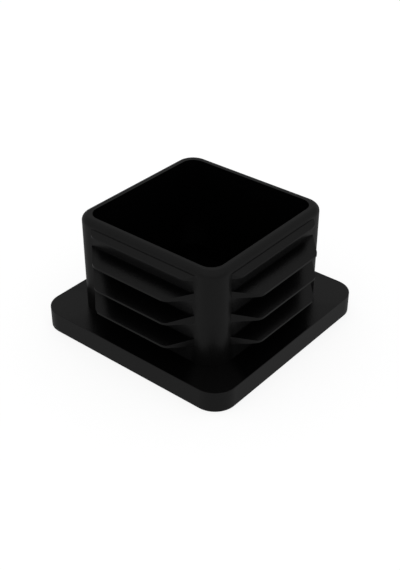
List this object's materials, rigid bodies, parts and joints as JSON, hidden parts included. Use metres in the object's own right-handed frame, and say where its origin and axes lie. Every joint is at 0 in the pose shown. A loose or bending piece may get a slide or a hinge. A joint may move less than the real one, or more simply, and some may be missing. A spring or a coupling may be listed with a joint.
{
  "type": "square tube end cap",
  "caption": "Square push-in end cap for square tube: a flat head with a hollow plug, ringed by tapered fins that grip the bore.",
  "frame": {"origin": "centre of the head's outer face, the one that is seen once the cap is fitted and that the cap stands on here", "axes": "+Z along the plug, from the head's outer face to the open mouth, so into the tube; X and Y square to the head's flats"},
  "size_m": [0.05, 0.05, 0.0272],
  "materials": {
    "black_plastic": "smooth black polyethylene, satin"
  },
  "bodies": {
    "root": {"end_cap": "black_plastic"}
  },
  "joints": []
}
